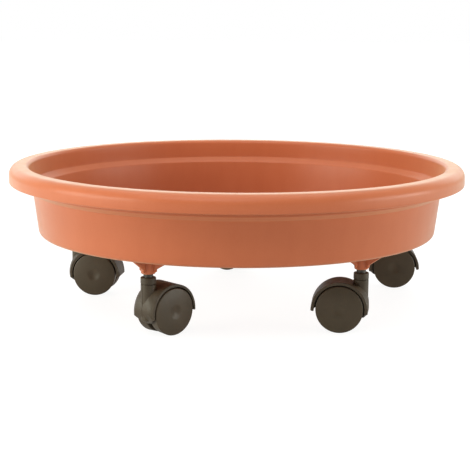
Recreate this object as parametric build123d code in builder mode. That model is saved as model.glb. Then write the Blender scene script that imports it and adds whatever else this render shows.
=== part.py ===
from build123d import *
import math
import os

# Rolling saucer for a plant pot: a round moulded tray on five hooded twin-wheel swivel casters.
# Frame: millimetres, +Z up, origin on the floor under the middle of the tray.

# ---------------------------------------------------------------- driving dimensions
# tray
RIM_R = 206.0            # outside radius of the rolled rim
RIM_TOP_Z = 129.0        # overall height
RIM_SKIRT_Z = 114.1      # lower edge of the rim's skirt
RIM_ROUND = 8.0          # rounding of the rim's outer shoulder
SKIRT_T = 2.8            # skirt thickness
NECK_IN_R = 188.3        # inside radius above the ledge
NECK_OUT_R = 190.9       # outside radius of the neck, inside the skirt
LEDGE_TOP_Z = 111.5      # top of the sloping ledge inside
LEDGE_BOT_Z = 107.0      # foot of the sloping ledge inside
STEP_TOP_Z = 109.7       # top of the matching step outside
STEP_BOT_Z = 105.5       # foot of the matching step outside
WALL_IN_TOP_R = 182.4    # inside radius of the wall just under the ledge
WALL_OUT_TOP_R = 185.1   # outside radius of the wall just under the step
WALL_OUT_BOT_R = 180.8   # outside radius of the wall at the base corner
BASE_Z = 67.1            # underside of the tray's floor
FLOOR_Z = 69.9           # upper face of the tray's floor
BASE_ROUND = 4.0         # rounding where wall and base meet
# caster sockets under the tray
CASTERS = 5
PITCH_R = 152.2          # radius of the circle of sockets
PHASE = 28.3             # angle of the first socket from -Y, towards -X
BOSS_R = 6.0               # outside radius of a socket boss
BOSS_BOT_Z = 53.1
SOCKET_R = 4.06
SOCKET_TOP_Z = 66.0
RING_GROOVE_R = 4.62
RING_GROOVE_Z = (57.4, 61.6)
RIB_T = 2.0              # stiffening ribs under the floor
RIB_BOT_Z = 64.0         # lower edge of the stiffening ribs
GUSSET_R = 8.1           # gusset reach beside the boss's foot
# caster, in its own frame: swivel axis on Z at the origin, wheels trailing towards +X
YAWS = (43.5, 174.0, -3.4, -30.5, -7.7)   # rest headings of the five casters
AXLE_X, AXLE_Z = 17.6, 20.0
WHEEL_R = 20.0
HOOD_C = (17.1, 18.5)    # centre of the hood's outer circle, over the wheels and down to the tail
HOOD_R = 24.7
FRONT = ((-1.3, 11.0), (-4.5, 14.9), (-6.5, 18.6), (-7.1, 22.2), (-6.3, 28.2), (-3.8, 34.4), (0.5, 38.9))
                         # middle line of the hood's front, from the lip up to where the hood's circle takes over
CROWN_R = 26.5           # radius about the axle of the crown across the hood, in the middle
CROWN_EDGE_R = 23.1      # the same at the hood's sides
POCKET_C = (17.8, 19.6)  # centre of the wheel pockets
POCKET_R = 21.3
HOOD_HALF = 12.4         # half width of the hood
WEB_HALF = 2.3           # half thickness of the web between the wheels
STEM_R = 6.35            # outside radius of the stem housing
HOUSING_TOP_Z = 44.3
BUSH_TOP_Z = 50.2
PIN_R = 4.0
AXLE_R = 2.48


def socket_xy(i):
    a = math.radians(72.0 * i - PHASE)
    return PITCH_R * math.sin(a), -PITCH_R * math.cos(a)


def caster_place(i):
    x, y = socket_xy(i)
    return Location((x, y, 0), (0, 0, YAWS[i]))


# ---------------------------------------------------------------- tray
with BuildPart() as tray:
    # section of the moulded wall, turned about Z
    with BuildSketch(Plane.XZ) as section:
        with BuildLine():
            Polyline(
                (0, BASE_Z), (WALL_OUT_BOT_R - BASE_ROUND - 0.3, BASE_Z),
            )
            ThreePointArc(
                (WALL_OUT_BOT_R - BASE_ROUND - 0.3, BASE_Z),
                (WALL_OUT_BOT_R - 1.35, BASE_Z + 1.1),
                (WALL_OUT_BOT_R, BASE_Z + BASE_ROUND),
            )
            Polyline(
                (WALL_OUT_BOT_R, BASE_Z + BASE_ROUND),
                (WALL_OUT_TOP_R, STEP_BOT_Z),
                (NECK_OUT_R, STEP_TOP_Z),
                (NECK_OUT_R, RIM_TOP_Z - SKIRT_T),
                (RIM_R - RIM_ROUND, RIM_TOP_Z - SKIRT_T),
            )
            ThreePointArc(
                (RIM_R - RIM_ROUND, RIM_TOP_Z - SKIRT_T),
                (
                    RIM_R - RIM_ROUND + (RIM_ROUND - SKIRT_T) * math.sin(math.pi / 4),
                    RIM_TOP_Z - RIM_ROUND + (RIM_ROUND - SKIRT_T) * math.cos(math.pi / 4),
                ),
                (RIM_R - SKIRT_T, RIM_TOP_Z - RIM_ROUND),
            )
            Polyline(
                (RIM_R - SKIRT_T, RIM_TOP_Z - RIM_ROUND),
                (RIM_R - SKIRT_T, RIM_SKIRT_Z),
                (RIM_R, RIM_SKIRT_Z),
                (RIM_R, RIM_TOP_Z - RIM_ROUND),
            )
            ThreePointArc(
                (RIM_R, RIM_TOP_Z - RIM_ROUND),
                (
                    RIM_R - RIM_ROUND + RIM_ROUND * math.sin(math.pi / 4),
                    RIM_TOP_Z - RIM_ROUND + RIM_ROUND * math.cos(math.pi / 4),
                ),
                (RIM_R - RIM_ROUND, RIM_TOP_Z),
            )
            Polyline(
                (RIM_R - RIM_ROUND, RIM_TOP_Z),
                (NECK_IN_R, RIM_TOP_Z),
                (NECK_IN_R, LEDGE_TOP_Z),
                (WALL_IN_TOP_R, LEDGE_BOT_Z),
                (WALL_OUT_BOT_R - 2.9, FLOOR_Z),
                (0, FLOOR_Z),
                (0, BASE_Z),
            )
        make_face()
    revolve(axis=Axis.Z)
    # stiffening ribs under the floor: a hub ring, a ring through the sockets and radial ribs
    with BuildSketch(Plane.XY.offset(RIB_BOT_Z)):
        Circle(34 + RIB_T)
        Circle(34, mode=Mode.SUBTRACT)
        Circle(PITCH_R + RIB_T / 2)
        Circle(PITCH_R - RIB_T / 2, mode=Mode.SUBTRACT)
        for n in range(2 * CASTERS):
            a = 36.0 * n - PHASE - 90.0
            reach = 120.0 if n % 2 == 0 else 116.0
            with Locations(Location((
                (34.5 + reach / 2) * math.cos(math.radians(a)),
                (34.5 + reach / 2) * math.sin(math.radians(a)), 0), (0, 0, a))):
                Rectangle(reach, RIB_T)
    extrude(amount=BASE_Z - RIB_BOT_Z + 0.5)
    # socket bosses with a chamfered foot and four gussets each
    for i in range(CASTERS):
        x, y = socket_xy(i)
        a = 72.0 * i - PHASE - 90.0
        with BuildSketch(Plane((x, y, BOSS_BOT_Z), x_dir=(1, 0, 0), z_dir=(0, 0, 1))):
            Circle(BOSS_R)
        extrude(amount=BASE_Z - BOSS_BOT_Z + 0.5)
        for turn in (0, 90, 180, 270):
            h = math.radians(a + turn)
            foot = 22.0 if turn == 0 else 24.0
            gusset = Plane((x, y, 0), x_dir=(math.cos(h), math.sin(h), 0),
                           z_dir=(math.sin(h), -math.cos(h), 0))
            with BuildSketch(gusset):
                Polygon((4.5, BOSS_BOT_Z + 1.2), (BOSS_R, BOSS_BOT_Z + 0.95), (GUSSET_R, BOSS_BOT_Z + 2.2),
                        (GUSSET_R, 57.2), (foot, BASE_Z - 0.6),
                        (foot, BASE_Z + 0.5), (4.5, BASE_Z + 0.5), align=None)
            extrude(amount=RIB_T / 2, both=True)
    boss_feet = tray.part.edges().filter_by(GeomType.CIRCLE).filter_by(
        lambda e: abs(e.center().Z - BOSS_BOT_Z) < 0.01 and abs(e.radius - BOSS_R) < 0.01)
    chamfer(boss_feet, length=0.8)
    # sockets with the groove that the grip ring springs into
    for i in range(CASTERS):
        x, y = socket_xy(i)
        with BuildSketch(Plane((x, y, BOSS_BOT_Z), x_dir=(1, 0, 0), z_dir=(0, 0, 1))):
            Circle(SOCKET_R)
        extrude(amount=SOCKET_TOP_Z - BOSS_BOT_Z, mode=Mode.SUBTRACT)
        with BuildSketch(Plane((x, y, RING_GROOVE_Z[0]), x_dir=(1, 0, 0), z_dir=(0, 0, 1))):
            Circle(RING_GROOVE_R)
        extrude(amount=RING_GROOVE_Z[1] - RING_GROOVE_Z[0], mode=Mode.SUBTRACT)
    # softened rim edges
    big = tray.part.edges().filter_by(GeomType.CIRCLE)
    inner_lip = big.filter_by(lambda e: abs(e.radius - NECK_IN_R) < 0.01 and abs(e.center().Z - RIM_TOP_Z) < 0.01)
    fillet(inner_lip, radius=3.2)
    skirt_edges = tray.part.edges().filter_by(GeomType.CIRCLE).filter_by(
        lambda e: abs(e.center().Z - RIM_SKIRT_Z) < 0.01 and e.radius > 200)
    fillet(skirt_edges, radius=0.6)
    steps = tray.part.edges().filter_by(GeomType.CIRCLE).filter_by(
        lambda e: (abs(e.radius - NECK_IN_R) < 0.01 and abs(e.center().Z - LEDGE_TOP_Z) < 0.01)
        or (abs(e.radius - WALL_IN_TOP_R) < 0.01 and abs(e.center().Z - LEDGE_BOT_Z) < 0.01)
        or (abs(e.radius - WALL_OUT_TOP_R) < 0.01 and abs(e.center().Z - STEP_BOT_Z) < 0.01)
        or (abs(e.radius - NECK_OUT_R) < 0.01 and abs(e.center().Z - STEP_TOP_Z) < 0.01))
    fillet(steps, radius=1.2)
    floor_corner = tray.part.edges().filter_by(GeomType.CIRCLE).filter_by(
        lambda e: abs(e.center().Z - FLOOR_Z) < 0.01 and e.radius > 170)
    fillet(floor_corner, radius=3.0)
tray.part.label = "tray"

# ---------------------------------------------------------------- caster housing (hood, web and stem housing in one moulding)
def hood_outline(inset=0.0):
    # closed outline in the caster's middle plane, from the front lip over the top to the tail
    start = math.radians(112.0)
    r = HOOD_R - inset
    top = (HOOD_C[0] + r * math.cos(start), HOOD_C[1] + r * math.sin(start))
    mid = (HOOD_C[0] + r * math.cos(math.radians(50)), HOOD_C[1] + r * math.sin(math.radians(50)))
    tail = (HOOD_C[0] + r, HOOD_C[1])
    cx, cz = AXLE_X, AXLE_Z
    front = []
    for x, z in FRONT:
        d = math.hypot(x - cx, z - cz)
        front.append((x - (x - cx) / d * inset, z - (z - cz) / d * inset))
    return front, top, mid, tail


with BuildPart() as housing:
    # hood, closed below by the line from the front lip to the tail tip
    with BuildSketch(Plane.XZ):
        front, top, mid, tail = hood_outline()
        with BuildLine():
            tangent = (math.sin(math.radians(112.0)), -math.cos(math.radians(112.0)))
            Spline(*front, top, tangents=[(-0.64, 0.77), tangent])
            ThreePointArc(top, mid, tail)
            Polyline(tail, (39.3, 18.3), (37.9, 19.2), (30, 16.0), (23.5, 12.6), (18, 11.0), (12, 9.8), (5, 9.4), front[0])
        make_face()
    extrude(amount=HOOD_HALF, both=True)
    # crown across the hood, turned about the axle
    with BuildSketch(Plane.XY.offset(AXLE_Z)):
        with BuildLine():
            ThreePointArc((AXLE_X + CROWN_EDGE_R, -HOOD_HALF), (AXLE_X + CROWN_R, 0), (AXLE_X + CROWN_EDGE_R, HOOD_HALF))
            Polyline((AXLE_X + CROWN_EDGE_R, HOOD_HALF), (AXLE_X, HOOD_HALF), (AXLE_X, -HOOD_HALF), (AXLE_X + CROWN_EDGE_R, -HOOD_HALF))
        make_face()
    revolve(axis=Axis((AXLE_X, 0, AXLE_Z), (0, 1, 0)), mode=Mode.INTERSECT)
    # front lip rises from the middle towards both sides
    for s in (1, -1):
        with BuildSketch(Plane((-12, 0, 0), x_dir=(0, 1, 0), z_dir=(1, 0, 0))):
            Polygon((s * 3.4, 5), (s * 14, 5), (s * 14, 17.2), (s * 11.2, 16.0), (s * 3.4, 9.8), align=None)
        extrude(amount=26, mode=Mode.SUBTRACT)
    # stem housing
    with BuildSketch(Plane.XY.offset(14)):
        Circle(STEM_R)
    extrude(amount=HOUSING_TOP_Z - 14)
    # wheel pockets
    for s in (1, -1):
        with BuildSketch(Plane.XZ.offset(-s * WEB_HALF)):
            with Locations(POCKET_C):
                Circle(POCKET_R)
        extrude(amount=-s * 20, mode=Mode.SUBTRACT)
    # axle hub on the web
    with BuildSketch(Plane.XZ):
        with Locations((AXLE_X, AXLE_Z)):
            Circle(4.6)
    extrude(amount=WEB_HALF + 0.4, both=True)
    with BuildSketch(Plane.XZ):
        with Locations((AXLE_X, AXLE_Z)):
            Circle(AXLE_R + 0.01)
    extrude(amount=10, both=True, mode=Mode.SUBTRACT)
    # seat for the stem's head and the swivel bush
    with BuildSketch(Plane.XY.offset(37.7)):
        Circle(5.0)
    extrude(amount=10, mode=Mode.SUBTRACT)
    # relief round the top of the stem housing
    top_ring = housing.part.edges().filter_by(GeomType.CIRCLE).filter_by(
        lambda e: abs(e.center().Z - HOUSING_TOP_Z) < 0.01 and abs(e.radius - STEM_R) < 0.01)
    fillet(top_ring, radius=0.35)
    # eased edges along the sides of the hood, outside and at the mouth of the pockets
    for radius in (0.7, 0.45, 0.3):
        try:
            side = housing.part.edges().filter_by(
                lambda e: abs(abs(e.center().Y) - HOOD_HALF) < 0.02 and e.length > 20
                and math.hypot(e.position_at(0.5).X - AXLE_X, e.position_at(0.5).Z - AXLE_Z) > 21.9)
            fillet(side, radius=radius)
            break
        except Exception:
            continue

# parting groove along the middle of the stem housing and the hood's front
with BuildPart() as groove:
    with BuildSketch(Plane.XZ) as band:
        outer_front, outer_top, _, _ = hood_outline(-0.6)
        inner_front, inner_top, _, _ = hood_outline(0.22)
        with BuildLine():
            Spline(*outer_front, outer_top)
            Line(outer_top, inner_top)
            Spline(*inner_front, inner_top)
            Line(inner_front[0], outer_front[0])
        make_face()
    extrude(amount=0.17, both=True)
    with BuildSketch(Plane.XZ):
        Polygon((-8, 26.5), (-STEM_R + 0.22, 26.5), (-STEM_R + 0.22, 42.9), (-8, 42.9), align=None)
    extrude(amount=0.17, both=True)
with BuildPart() as housing_grooved:
    add(housing.part)
    add(groove.part, mode=Mode.SUBTRACT)
housing_grooved.part.label = "housing"

# ---------------------------------------------------------------- swivel bush in the top of the stem housing
with BuildPart() as bush:
    with BuildSketch(Plane.XY.offset(40.1)):
        Circle(4.98)
    extrude(amount=HOUSING_TOP_Z - 40.1)
    with BuildSketch(Plane.XY.offset(HOUSING_TOP_Z)):
        Circle(5.35)
    extrude(amount=0.8)
    with BuildSketch(Plane.XY.offset(HOUSING_TOP_Z + 0.8)):
        Circle(6.45)
    extrude(amount=BUSH_TOP_Z - HOUSING_TOP_Z - 0.8)
    rim = bush.part.edges().filter_by(GeomType.CIRCLE).filter_by(
        lambda e: abs(e.center().Z - BUSH_TOP_Z) < 0.01)
    fillet(rim, radius=0.8)
    with BuildSketch(Plane.XY.offset(30)):
        Circle(PIN_R + 0.06)
    extrude(amount=30, mode=Mode.SUBTRACT)
bush.part.label = "swivel_bush"

# ---------------------------------------------------------------- stem pin: head inside the housing, shank up into the socket
with BuildPart() as pin:
    with BuildSketch(Plane.XY.offset(37.8)):
        Circle(4.85)
    extrude(amount=2.2)
    with BuildSketch(Plane.XY.offset(40.0)):
        Circle(PIN_R)
    extrude(amount=65.6 - 40.0)
    ends = pin.part.edges().filter_by(GeomType.CIRCLE).filter_by(
        lambda e: abs(e.center().Z - 65.6) < 0.01 or abs(e.center().Z - 37.8) < 0.01)
    chamfer(ends, length=0.7)
    with BuildSketch(Plane.XY.offset(57.9)):
        Circle(6)
        Circle(3.25, mode=Mode.SUBTRACT)
    extrude(amount=3.2, mode=Mode.SUBTRACT)
pin.part.label = "stem_pin"

# ---------------------------------------------------------------- split grip ring on the pin
with BuildPart() as grip:
    with BuildSketch(Plane.XY.offset(58.05)):
        Circle(4.5)
        Circle(3.4, mode=Mode.SUBTRACT)
        with Locations((4, 0)):
            Rectangle(4, 1.3, mode=Mode.SUBTRACT)
    extrude(amount=2.9)
grip.part.label = "grip_ring"

# ---------------------------------------------------------------- axle with a snap groove near each end
with BuildPart() as axle:
    with BuildSketch(Plane.XZ.offset(-11.4)):
        with Locations((AXLE_X, AXLE_Z)):
            Circle(AXLE_R)
    extrude(amount=22.8)
    chamfer(axle.part.edges().filter_by(GeomType.CIRCLE), length=0.5)
    for s in (1, -1):
        with BuildSketch(Plane.XZ.offset(s * 8.6)):
            with Locations((AXLE_X, AXLE_Z)):
                Circle(4)
                Circle(2.1, mode=Mode.SUBTRACT)
        extrude(amount=s * 1.6, mode=Mode.SUBTRACT)
axle.part.label = "axle"


# ---------------------------------------------------------------- wheels: a dished disc with a hub, tread ring and six ribs
def wheel_points():
    # (distance from the middle of the caster along the axle, radius)
    return {
        "tread_in": (3.1, 19.0), "tread_a": (3.7, 19.5), "tread_b": (12.0, WHEEL_R),
        "corner": (12.75, 19.65), "face_a": (13.05, 19.0),
        "dome": (14.05, 12.6), "face_b": (14.4, 6.7), "dimple": (13.93, 3.8), "mid": (13.35, 0.0),
    }


def build_wheel(side):
    p = wheel_points()
    plane = Plane((AXLE_X, 0, AXLE_Z), x_dir=(0, side, 0), z_dir=(side, 0, 0))
    with BuildPart() as wheel:
        with BuildSketch(plane):
            with BuildLine():
                Polyline((11.6, 0), (p["mid"]))
                Spline(p["mid"], p["dimple"], p["face_b"], tangents=[(0, 1), (0, 1)])
                ThreePointArc(p["face_b"], p["dome"], p["face_a"])
                ThreePointArc(p["face_a"], p["corner"], p["tread_b"])
                Polyline(p["tread_b"], p["tread_a"], p["tread_in"], (3.1, 17.2), (10.2, 17.0),
                         (10.9, 12.0), (11.5, 5.2), (3.1, 4.9), (3.1, 2.56), (8.8, 2.56),
                         (8.95, 2.3), (9.85, 2.3), (10.0, 2.56), (11.6, 2.56), (11.6, 0))
            make_face()
        revolve(axis=Axis((AXLE_X, 0, AXLE_Z), (0, 1, 0)))
        # ribs between hub and tread ring, on the inner side of the disc
        for n in range(6):
            a = math.radians(60.0 * n)
            radial = (math.cos(a), 0, math.sin(a))
            across = Plane((AXLE_X, 0, AXLE_Z), x_dir=(0, side, 0),
                           z_dir=(Vector(0, side, 0).cross(Vector(*radial))))
            with BuildSketch(across):
                Polygon((4.4, 4.5), (11.9, 4.5), (11.2, 12.5), (10.3, 17.6), (4.4, 17.6), align=None)
            extrude(amount=0.7, both=True)
    return wheel.part


wheel_left = build_wheel(1)
wheel_left.label = "wheel_left"
wheel_right = build_wheel(-1)
wheel_right.label = "wheel_right"

# ---------------------------------------------------------------- write one STEP per sub-part
os.makedirs("parts", exist_ok=True)

export_step(tray.part, "parts/tray.step")
for i in range(CASTERS):
    place = caster_place(i)
    for shape, name in (
        (housing_grooved.part, "housing"), (bush.part, "swivel_bush"), (pin.part, "stem_pin"),
        (grip.part, "grip_ring"), (axle.part, "axle"),
        (wheel_left, "wheel_left"), (wheel_right, "wheel_right"),
    ):
        piece = shape.moved(place)
        piece.label = f"caster{i + 1}_{name}"
        export_step(piece, f"parts/{piece.label}.step")
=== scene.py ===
import math
import bmesh
import bpy
from mathutils import Matrix, Vector


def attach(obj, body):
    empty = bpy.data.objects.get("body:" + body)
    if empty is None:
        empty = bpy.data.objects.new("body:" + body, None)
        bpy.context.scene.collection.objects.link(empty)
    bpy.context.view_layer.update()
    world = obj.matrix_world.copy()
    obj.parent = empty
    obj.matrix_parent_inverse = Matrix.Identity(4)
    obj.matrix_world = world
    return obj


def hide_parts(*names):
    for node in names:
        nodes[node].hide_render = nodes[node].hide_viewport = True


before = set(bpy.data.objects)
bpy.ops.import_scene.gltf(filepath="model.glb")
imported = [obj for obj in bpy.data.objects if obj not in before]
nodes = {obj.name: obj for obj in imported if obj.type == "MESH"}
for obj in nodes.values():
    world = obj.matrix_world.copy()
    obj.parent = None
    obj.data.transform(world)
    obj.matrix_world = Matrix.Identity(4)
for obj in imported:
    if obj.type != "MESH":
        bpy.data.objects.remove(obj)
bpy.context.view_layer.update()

MM = 0.001
scene = bpy.context.scene
CASTERS = 5
PITCH_R = 152.2
PHASE = 28.3
BOSS_BOT_Z = 53.1
BASE_Z = 67.1
FLOOR_Z = 69.9
RIB_BOT_Z = 64.0


# ------------------------------------------------------------------ mesh helpers
def arc(c, r, a0, a1, n):
    return [(c[0] + r * math.cos(math.radians(a0 + (a1 - a0) * i / n)),
             c[1] + r * math.sin(math.radians(a0 + (a1 - a0) * i / n))) for i in range(n + 1)]


def round_corner(p0, p1, p2, r, n=5):
    """Points of the rounding of radius r at corner p1."""
    v0 = Vector((p0[0] - p1[0], p0[1] - p1[1])).normalized()
    v1 = Vector((p2[0] - p1[0], p2[1] - p1[1])).normalized()
    half = v0.angle(v1) / 2
    t = r / math.tan(half)
    centre = Vector(p1) + (v0 + v1).normalized() * (r / math.sin(half))
    a, b = Vector(p1) + v0 * t, Vector(p1) + v1 * t
    u, w = (a - centre), (b - centre)
    total = u.angle_signed(w)
    out = []
    for i in range(n + 1):
        k = -total * i / n
        out.append((centre.x + u.x * math.cos(k) - u.y * math.sin(k), centre.y + u.x * math.sin(k) + u.y * math.cos(k)))
    return out


def rounded(points, closed=True):
    """points: (x, y, radius, steps). Returns the outline with its corners rounded."""
    out = []
    n = len(points)
    for i, p in enumerate(points):
        r = p[2] if len(p) > 2 else 0
        if r <= 0 or (not closed and i in (0, n - 1)):
            out.append((p[0], p[1]))
            continue
        steps = p[3] if len(p) > 3 else 5
        out += round_corner(points[i - 1][:2], p[:2], points[(i + 1) % n][:2], r, steps)
    return out


def split_long(points, longest):
    """Adds points along runs longer than longest."""
    out = [points[0]]
    for a, b in zip(points, points[1:]):
        d = math.hypot(b[0] - a[0], b[1] - a[1])
        k = max(1, math.ceil(d / longest))
        for j in range(1, k + 1):
            out.append((a[0] + (b[0] - a[0]) * j / k, a[1] + (b[1] - a[1]) * j / k))
    return out


def object_from(bm, name):
    bmesh.ops.recalc_face_normals(bm, faces=bm.faces)
    me = bpy.data.meshes.new(name)
    bm.to_mesh(me)
    bm.free()
    ob = bpy.data.objects.new(name, me)
    scene.collection.objects.link(ob)
    return ob


def lathe(bm, profile, n, centre=(0, 0), closed=False):
    """Turns profile (r, z in mm) about a vertical axis. Points on the axis are poles."""
    rings = []
    for r, z in profile:
        if r < 1e-6:
            rings.append([bm.verts.new((centre[0] * MM, centre[1] * MM, z * MM))])
        else:
            rings.append([bm.verts.new(((centre[0] + r * math.cos(2 * math.pi * i / n)) * MM,
                                        (centre[1] + r * math.sin(2 * math.pi * i / n)) * MM, z * MM)) for i in range(n)])
    pairs = list(zip(rings, rings[1:]))
    if closed:
        pairs.append((rings[-1], rings[0]))
    for a, b in pairs:
        for i in range(n):
            j = (i + 1) % n
            if len(a) == 1 and len(b) == 1:
                continue
            if len(a) == 1:
                bm.faces.new((a[0], b[j], b[i]))
            elif len(b) == 1:
                bm.faces.new((a[i], a[j], b[0]))
            else:
                bm.faces.new((a[i], a[j], b[j], b[i]))


def plate(bm, outline, thickness, place, ease=0.35):
    """A flat plate: outline in mm in the plate's x-y, thick along its z, put in place by a matrix (mm)."""
    part = bmesh.new()
    lower = [part.verts.new((x, y, -thickness / 2)) for x, y in outline]
    upper = [part.verts.new((x, y, thickness / 2)) for x, y in outline]
    part.faces.new(list(reversed(lower)))
    part.faces.new(upper)
    k = len(outline)
    for i in range(k):
        j = (i + 1) % k
        part.faces.new((lower[i], lower[j], upper[j], upper[i]))
    bmesh.ops.recalc_face_normals(part, faces=part.faces)
    if ease > 0:
        bmesh.ops.bevel(part, geom=part.edges[:], offset=ease, segments=2, profile=0.5, affect='EDGES')
    part.transform(Matrix.Scale(MM, 4) @ place)
    me = bpy.data.meshes.new("tmp")
    part.to_mesh(me)
    part.free()
    bm.from_mesh(me)
    bpy.data.meshes.remove(me)


def boolean(target, others, operation='UNION'):
    """target with the others joined or cut, exact solver, applied."""
    for o in others:
        m = target.modifiers.new("b", 'BOOLEAN')
        m.operation = operation
        m.solver = 'EXACT'
        m.object = o
    bpy.context.view_layer.update()
    deps = bpy.context.evaluated_depsgraph_get()
    me = bpy.data.meshes.new_from_object(target.evaluated_get(deps))
    target.modifiers.clear()
    old = target.data
    target.data = me
    bpy.data.meshes.remove(old)
    for o in others:
        old = o.data
        bpy.data.objects.remove(o)
        bpy.data.meshes.remove(old)
    return target


def tidy(ob, angle=35.0):
    bm = bmesh.new()
    bm.from_mesh(ob.data)
    bmesh.ops.remove_doubles(bm, verts=bm.verts, dist=2e-6)
    bmesh.ops.dissolve_degenerate(bm, dist=1e-6, edges=bm.edges)
    bmesh.ops.recalc_face_normals(bm, faces=bm.faces)
    bm.to_mesh(ob.data)
    bm.free()
    for p in ob.data.polygons:
        p.use_smooth = True
    ob.data.set_sharp_from_angle(angle=math.radians(angle))


# ------------------------------------------------------------------ material helpers
class Nodes:
    def __init__(self, name):
        self.mat = bpy.data.materials.new(name)
        self.mat.use_nodes = True
        self.t = self.mat.node_tree
        self.t.nodes.clear()
        self.out = self.t.nodes.new("ShaderNodeOutputMaterial")
        self.bsdf = self.t.nodes.new("ShaderNodeBsdfPrincipled")
        self.t.links.new(self.bsdf.outputs[0], self.out.inputs[0])
        self.coord = self.t.nodes.new("ShaderNodeTexCoord").outputs["Object"]

    def link(self, a, b):
        self.t.links.new(a, b)

    def mapped(self, scale=(1, 1, 1)):
        m = self.t.nodes.new("ShaderNodeMapping")
        m.inputs["Scale"].default_value = scale
        self.link(self.coord, m.inputs["Vector"])
        return m.outputs[0]

    def noise(self, scale, detail=3.0, rough=0.5, vector=None, distort=0.0, kind='FBM'):
        n = self.t.nodes.new("ShaderNodeTexNoise")
        n.inputs["Scale"].default_value = scale
        n.inputs["Detail"].default_value = detail
        n.inputs["Roughness"].default_value = rough
        n.inputs["Distortion"].default_value = distort
        self.link(vector if vector is not None else self.coord, n.inputs["Vector"])
        return n.outputs["Fac"]

    def voronoi(self, scale, feature='F1', vector=None):
        n = self.t.nodes.new("ShaderNodeTexVoronoi")
        n.feature = feature
        n.inputs["Scale"].default_value = scale
        self.link(vector if vector is not None else self.coord, n.inputs["Vector"])
        return n.outputs["Distance"]

    def ramp(self, fac, stops, interpolation='LINEAR'):
        r = self.t.nodes.new("ShaderNodeValToRGB")
        r.color_ramp.interpolation = interpolation
        while len(r.color_ramp.elements) < len(stops):
            r.color_ramp.elements.new(0.5)
        for e, (pos, col) in zip(r.color_ramp.elements, stops):
            e.position = pos
            e.color = col if len(col) == 4 else (*col, 1)
        self.link(fac, r.inputs[0])
        return r.outputs[0]

    def map(self, v, a0, a1, b0, b1):
        m = self.t.nodes.new("ShaderNodeMapRange")
        m.inputs[1].default_value, m.inputs[2].default_value = a0, a1
        m.inputs[3].default_value, m.inputs[4].default_value = b0, b1
        self.link(v, m.inputs[0])
        return m.outputs[0]

    def math(self, op, a, b=None, c=None):
        m = self.t.nodes.new("ShaderNodeMath")
        m.operation = op
        for i, v in enumerate((a, b, c)):
            if v is None:
                continue
            if isinstance(v, (int, float)):
                m.inputs[i].default_value = v
            else:
                self.link(v, m.inputs[i])
        return m.outputs[0]

    def mix(self, fac, a, b, blend='MIX'):
        m = self.t.nodes.new("ShaderNodeMix")
        m.data_type = 'RGBA'
        m.blend_type = blend
        ins = [i for i in m.inputs if i.type == 'RGBA']
        if isinstance(fac, (int, float)):
            m.inputs[0].default_value = fac
        else:
            self.link(fac, m.inputs[0])
        for socket, v in zip(ins, (a, b)):
            if isinstance(v, tuple):
                socket.default_value = v if len(v) == 4 else (*v, 1)
            else:
                self.link(v, socket)
        return [o for o in m.outputs if o.type == 'RGBA'][0]

    def bump(self, height, strength, distance, normal=None):
        b = self.t.nodes.new("ShaderNodeBump")
        b.inputs["Strength"].default_value = strength
        b.inputs["Distance"].default_value = distance
        self.link(height, b.inputs["Height"])
        if normal is not None:
            self.link(normal, b.inputs["Normal"])
        return b.outputs[0]

    def set(self, name, v):
        s = self.bsdf.inputs[name]
        if isinstance(v, (int, float)):
            s.default_value = v
        elif isinstance(v, tuple):
            s.default_value = v if len(v) == 4 else (*v, 1)
        else:
            self.link(v, s)


def radius_and_height(m):
    """Distance from the object's vertical axis and height, as sockets."""
    s = m.t.nodes.new("ShaderNodeSeparateXYZ")
    m.link(m.coord, s.inputs[0])
    x, y, z = s.outputs
    r = m.math('SQRT', m.math('ADD', m.math('MULTIPLY', x, x), m.math('MULTIPLY', y, y)))
    return x, y, z, r


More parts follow.
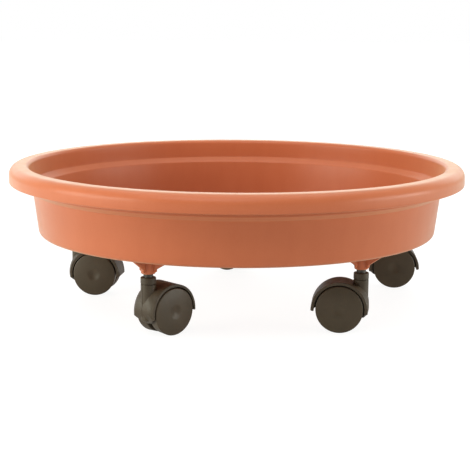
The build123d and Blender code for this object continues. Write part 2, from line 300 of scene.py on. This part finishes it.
def terracotta():
    m = Nodes("terracotta_pp")
    x, y, z, r = radius_and_height(m)
    cloud = m.noise(9.0, 3.0, 0.55)
    fine = m.noise(900.0, 2.0, 0.6)
    # pigment streaks along the flow of the moulding, outwards from the middle
    angle = m.math('ARCTAN2', y, x)
    comb = m.t.nodes.new("ShaderNodeCombineXYZ")
    m.link(m.math('MULTIPLY', angle, 7.0), comb.inputs[0])
    m.link(m.math('MULTIPLY', r, 5.0), comb.inputs[1])
    m.link(m.math('MULTIPLY', z, 14.0), comb.inputs[2])
    flow = m.noise(2.4, 4.0, 0.6, vector=comb.outputs[0])
    base = m.ramp(cloud, [(0.30, (0.448, 0.118, 0.047)), (0.52, (0.465, 0.125, 0.051)), (0.75, (0.483, 0.133, 0.056))])
    col = m.mix(m.map(flow, 0.35, 0.70, 0.0, 0.35), base, (0.422, 0.105, 0.041))
    col = m.mix(m.map(fine, 0.35, 0.65, 0.0, 0.16), col, (0.50, 0.152, 0.073))
    # faint rub marks where pots stand on the floor
    scuff = m.noise(160.0, 4.0, 0.7, vector=m.mapped((1.0, 1.0, 6.0)), distort=1.2)
    scuff = m.map(scuff, 0.60, 0.74, 0.0, 1.0)
    on_floor = m.math('MULTIPLY', m.map(z, 0.0696, 0.0700, 0.0, 1.0), m.map(z, 0.0710, 0.0722, 1.0, 0.0))
    scuff_floor = m.math('MULTIPLY', scuff, on_floor)
    col = m.mix(m.math('MULTIPLY', scuff_floor, 0.22), col, (0.66, 0.25, 0.14))
    m.set("Base Color", col)
    rough = m.map(m.noise(60.0, 3.0, 0.6), 0.3, 0.7, 0.29, 0.37)
    rough = m.math('ADD', rough, m.math('MULTIPLY', scuff_floor, 0.12))
    m.set("Roughness", rough)
    m.set("IOR", 1.49)
    m.set("Specular IOR Level", 0.20)
    m.set("Sheen Weight", 0.28)
    m.set("Sheen Roughness", 0.45)
    m.set("Sheen Tint", (1.0, 1.0, 0.62))
    grain = m.bump(m.noise(1500.0, 2.0, 0.5), 0.10, 0.00006)
    wave = m.bump(m.noise(38.0, 2.0, 0.5), 0.05, 0.0006, grain)
    m.set("Normal", wave)
    return m.mat


def dark_plastic(name, tone=1.0, seed=0.0, rough=(0.34, 0.46)):
    m = Nodes(name)
    shift = m.t.nodes.new("ShaderNodeMapping")
    shift.inputs["Location"].default_value = (seed, seed * 0.7, -seed)
    m.link(m.coord, shift.inputs["Vector"])
    v = shift.outputs[0]
    cloud = m.noise(60.0, 3.0, 0.55, vector=v)
    a = tuple(c * tone for c in (0.054, 0.0400, 0.0240))
    b = tuple(c * tone for c in (0.067, 0.0495, 0.0300))
    col = m.ramp(cloud, [(0.32, a), (0.70, b)])
    speck = m.noise(1400.0, 2.0, 0.6, vector=v)
    col = m.mix(m.map(speck, 0.55, 0.75, 0.0, 0.25), col, tuple(c * tone for c in (0.100, 0.078, 0.052)))
    m.set("Base Color", col)
    m.set("Roughness", m.map(m.noise(120.0, 4.0, 0.6, vector=v), 0.3, 0.7, rough[0], rough[1]))
    m.set("IOR", 1.5)
    m.set("Specular IOR Level", 0.25)
    grain = m.bump(m.noise(1800.0, 2.0, 0.5, vector=v), 0.12, 0.00005)
    m.set("Normal", m.bump(m.noise(90.0, 2.0, 0.5, vector=v), 0.06, 0.0002, grain))
    return m.mat


def steel():
    m = Nodes("burnished_steel")
    v = m.mapped((1.0, 1.0, 9.0))
    scratch = m.noise(900.0, 3.0, 0.6, vector=v)
    m.set("Base Color", m.ramp(m.noise(220.0, 3.0, 0.6), [(0.3, (0.045, 0.040, 0.034)), (0.7, (0.090, 0.082, 0.072))]))
    m.set("Metallic", 1.0)
    m.set("Roughness", m.map(scratch, 0.3, 0.7, 0.26, 0.42))
    m.set("Normal", m.bump(scratch, 0.08, 0.00004))
    return m.mat


# ------------------------------------------------------------------ tray
def tray_profile():
    """Closed outline (r, z in mm) of the moulded wall, from the middle of the underside round to the middle of the floor."""
    pts = [
        (0.0, BASE_Z),
        (180.3, BASE_Z, 4.0, 8),
        (185.1, 105.5, 1.6, 4),
        (190.9, 109.7, 1.0, 4),
        (190.9, 126.2, 1.0, 3),
        (203.2, 126.2, 5.2, 6),
        (203.2, 114.1, 0.5, 3),
        (206.0, 114.1, 0.7, 4),
        (206.0, 129.0, 8.0, 14),
        (188.3, 129.0, 3.4, 8),
        (188.3, 111.5, 1.6, 5),
        (182.4, 107.0, 1.6, 5),
        (177.9, FLOOR_Z, 3.0, 8),
        (0.0, FLOOR_Z),
    ]
    return split_long(rounded(pts, closed=False), 12.0)


def socket(i):
    a = math.radians(72.0 * i - PHASE)
    return PITCH_R * math.sin(a), -PITCH_R * math.cos(a)


def build_tray():
    bm = bmesh.new()
    lathe(bm, tray_profile(), 288)
    shell = object_from(bm, "tray_moulding")
    ribs = bmesh.new()
    top = BASE_Z + 1.2
    rings = []
    for r0, r1 in ((34.0, 36.0), (PITCH_R - 1.0, PITCH_R + 1.0)):
        bm = bmesh.new()
        prof = rounded([(r0, RIB_BOT_Z, 0.4, 2), (r1, RIB_BOT_Z, 0.4, 2), (r1 + 0.1, top), (r0 - 0.1, top)])
        lathe(bm, prof, 180, closed=True)
        rings.append(object_from(bm, "ring"))
    bars = []
    for n in range(2 * CASTERS):
        a = math.radians(36.0 * n - PHASE - 90.0)
        reach = 120.0 if n % 2 == 0 else 116.0
        mid = 34.5 + reach / 2
        bm = bmesh.new()
        place = Matrix.Translation((mid * math.cos(a), mid * math.sin(a), 0)) @ Matrix.Rotation(a, 4, 'Z') @ Matrix.Rotation(math.pi / 2, 4, 'X')
        plate(bm, [(-reach / 2, RIB_BOT_Z), (reach / 2, RIB_BOT_Z), (reach / 2, top), (-reach / 2, top)], 2.0, place, 0.3)
        bars.append(object_from(bm, "bar"))
    bosses = []
    for i in range(CASTERS):
        x, y = socket(i)
        a = 72.0 * i - PHASE - 90.0
        bm = bmesh.new()
        # the socket is blind: its outline runs from the mouth up to its roof and back down outside
        prof = [(0.0, 66.0), (4.06, 66.0)] + rounded([(4.06, 60), (4.06, BOSS_BOT_Z, 0.3, 2), (6.0, BOSS_BOT_Z, 0.9, 4), (6.0, top)], closed=False)[1:] + [(0.0, top)]
        lathe(bm, prof, 64, centre=(x, y))
        bosses.append(object_from(bm, "boss"))
        for turn in (0, 90, 180, 270):
            h = math.radians(a + turn)
            foot = 22.0 if turn == 0 else 24.0
            bm = bmesh.new()
            place = Matrix.Translation((x, y, 0)) @ Matrix.Rotation(h, 4, 'Z') @ Matrix.Rotation(math.pi / 2, 4, 'X')
            plate(bm, [(4.8, BOSS_BOT_Z + 1.2), (6.0, BOSS_BOT_Z + 1.0), (8.1, BOSS_BOT_Z + 2.2), (8.1, 57.2), (foot, BASE_Z - 0.6), (foot, top), (4.8, top)], 2.0, place, 0.3)
            bosses.append(object_from(bm, "gusset"))
    boolean(shell, rings + bars + bosses, 'UNION')
    tidy(shell, 32.0)
    return shell


tray = build_tray()
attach(tray, "tray")
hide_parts("tray")
tray.data.materials.clear()
tray.data.materials.append(terracotta())

# ------------------------------------------------------------------ finishes on the carried-over solids
finishes = {
    "housing": dark_plastic("caster_body_plastic", 1.0, 3.0),
    "swivel_bush": dark_plastic("caster_bush_plastic", 0.9, 11.0),
    "wheel_left": dark_plastic("caster_wheel_plastic", 1.08, 23.0, (0.36, 0.48)),
    "stem_pin": steel(),
}
finishes["wheel_right"] = finishes["wheel_left"]
finishes["grip_ring"] = finishes["axle"] = finishes["stem_pin"]
for name, ob in nodes.items():
    for ending, mat in finishes.items():
        if name.endswith(ending):
            ob.data.materials.clear()
            ob.data.materials.append(mat)

# ------------------------------------------------------------------ floor, light and camera
def floor_plane(name, z, white, lit, seen):
    """A plain pale floor. The one that the camera sees is bright paper; the one below it is what lights the object."""
    bm = bmesh.new()
    bmesh.ops.create_grid(bm, x_segments=8, y_segments=8, size=9.0)
    ob = object_from(bm, name)
    ob.data.transform(Matrix.Translation((0, 0, z)))
    ob.visible_camera = seen
    ob.visible_diffuse = ob.visible_glossy = ob.visible_transmission = ob.visible_shadow = not seen
    m = Nodes(name)
    m.set("Base Color", m.ramp(m.noise(3.0, 2.0, 0.5), [(0.3, (white, white, white)), (0.7, (white + 0.02, white + 0.02, white + 0.018))]))
    m.set("Roughness", 0.75)
    m.set("Specular IOR Level", 0.2)
    m.set("Emission Color", (1.0, 1.0, 0.995))
    if seen:
        m.bsdf.inputs["Emission Strength"].default_value = lit
    else:
        # the paper is lit more strongly at the sides, most of all on the left, than in front
        s = m.t.nodes.new("ShaderNodeSeparateXYZ")
        m.link(m.coord, s.inputs[0])
        left = m.map(s.outputs[0], -0.12, -0.45, 0.0, 0.50)
        right = m.map(s.outputs[0], 0.25, 0.75, 0.0, 0.25)
        m.link(m.math('ADD', m.math('ADD', left, right), lit), m.bsdf.inputs["Emission Strength"])
    ob.data.materials.append(m.mat)
    return ob


floor_plane("studio_floor", -0.0002, 0.14, 0.91, True)
floor_plane("studio_floor_bounce", -0.0004, 0.38, 0.31, False)

WORLD = 0.62
world = bpy.data.worlds.new("studio")
scene.world = world
world.use_nodes = True
wt = world.node_tree
wt.nodes.clear()
wout = wt.nodes.new("ShaderNodeOutputWorld")
bg = wt.nodes.new("ShaderNodeBackground")
bg_cam = wt.nodes.new("ShaderNodeBackground")
mixs = wt.nodes.new("ShaderNodeMixShader")
lp = wt.nodes.new("ShaderNodeLightPath")
# the studio is dimmer on the camera's side than to the sides, above and behind
tc = wt.nodes.new("ShaderNodeTexCoord")
sep = wt.nodes.new("ShaderNodeSeparateXYZ")
wt.links.new(tc.outputs["Generated"], sep.inputs[0])
grad = wt.nodes.new("ShaderNodeValToRGB")
grad.color_ramp.interpolation = 'B_SPLINE'
ends = [(0.0, 0.30), (0.18, 0.34), (0.45, 0.80), (0.75, 1.0), (1.0, 0.9)]
while len(grad.color_ramp.elements) < len(ends):
    grad.color_ramp.elements.new(0.5)
for e, (pos, v) in zip(grad.color_ramp.elements, ends):
    e.position = pos
    e.color = (v, v * 0.995, v * 0.985, 1)
half = wt.nodes.new("ShaderNodeMapRange")
half.inputs[1].default_value, half.inputs[2].default_value = -1.0, 1.0
wt.links.new(sep.outputs[1], half.inputs[0])
wt.links.new(half.outputs[0], grad.inputs[0])
wt.links.new(grad.outputs[0], bg.inputs[0])
bg.inputs[1].default_value = WORLD
bg_cam.inputs[0].default_value = (1, 1, 1, 1)
bg_cam.inputs[1].default_value = 1.0
wt.links.new(lp.outputs["Is Camera Ray"], mixs.inputs[0])
wt.links.new(bg.outputs[0], mixs.inputs[1])
wt.links.new(bg_cam.outputs[0], mixs.inputs[2])
wt.links.new(mixs.outputs[0], wout.inputs[0])


def softbox(name, pos, target, size, power, color=(1, 1, 1)):
    light = bpy.data.lights.new(name, 'AREA')
    light.shape = 'RECTANGLE'
    light.size, light.size_y = size
    light.energy = power
    light.color = color
    ob = bpy.data.objects.new(name, light)
    ob.location = pos
    ob.rotation_euler = (Vector(target) - Vector(pos)).to_track_quat('-Z', 'Y').to_euler()
    scene.collection.objects.link(ob)
    ob.visible_camera = False
    return ob


softbox("key_left", (-1.5, -0.60, 0.38), (0, 0, 0.09), (1.3, 0.68), 22, (0.97, 1.0, 0.88))
softbox("fill_right", (1.6, -0.30, 0.25), (0, 0, 0.09), (1.2, 0.46), 16, (0.97, 1.0, 0.92))
softbox("top", (0, 0.15, 2.0), (0, 0, 0.0), (2.2, 2.2), 23)
softbox("top_front", (-0.4, -1.1, 1.55), (0, 0, 0.08), (1.3, 0.8), 13)
softbox("backdrop", (0, 1.7, 0.70), (0, 0, 0.1), (3.6, 0.82), 14)

cam_data = bpy.data.cameras.new("camera")
cam = bpy.data.objects.new("camera", cam_data)
scene.collection.objects.link(cam)
aim = Vector((0, 0, 0.0618))
el = math.radians(10.38)
cam.location = aim + 1.142 * Vector((0, -math.cos(el), math.sin(el)))
rot = (aim - cam.location).to_track_quat('-Z', 'Y').to_matrix().to_4x4()
cam.matrix_world = Matrix.Translation(cam.location) @ rot @ Matrix.Rotation(math.radians(0.397), 4, 'Z')
cam_data.sensor_width = 36.0
cam_data.lens = 94.4
cam_data.shift_x = -0.0031
cam_data.shift_y = -0.0018
cam_data.dof.use_dof = False
cam_data.clip_end = 100.0
scene.camera = cam

scene.view_settings.view_transform = 'Standard'
scene.view_settings.look = 'None'
